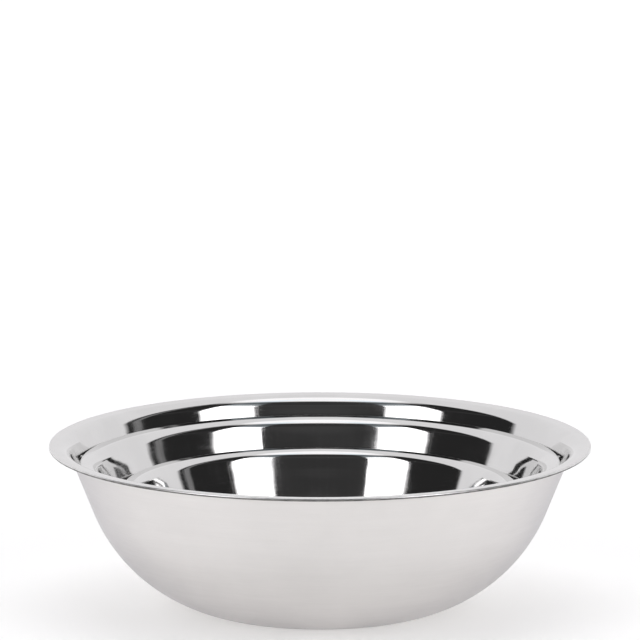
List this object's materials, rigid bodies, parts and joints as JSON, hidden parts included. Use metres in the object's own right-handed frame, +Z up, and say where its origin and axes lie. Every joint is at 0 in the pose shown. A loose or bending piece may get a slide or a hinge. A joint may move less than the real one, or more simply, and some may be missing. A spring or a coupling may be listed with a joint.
{
  "type": "nesting bowl set",
  "caption": "Nest of round pressed steel bowls in graduated sizes, each with a flat foot, deep rounded wall and wide flared lip with a curled edge; the inner bowls lift out.",
  "frame": {"origin": "centre of the large bowl's foot, on the surface it stands on", "axes": "+Z up along the axis that the nested bowls share; X and Y are level and alike"},
  "size_m": [0.337, 0.337, 0.1027],
  "materials": {
    "stainless_steel": "mirror polished inside and over the lip, fine satin outside"
  },
  "bodies": {
    "large_bowl": {"large_bowl": "stainless_steel"},
    "medium_bowl": {"medium_bowl": "stainless_steel"},
    "small_bowl": {"small_bowl": "stainless_steel"}
  },
  "joints": [
    {"name": "medium_lift", "type": "slide", "parent": "large_bowl", "child": "medium_bowl", "axis": [0, 0, 1], "range_m": [0, 0.147]},
    {"name": "small_lift", "type": "slide", "parent": "medium_bowl", "child": "small_bowl", "axis": [0, 0, 1], "range_m": [0, 0.129]}
  ]
}
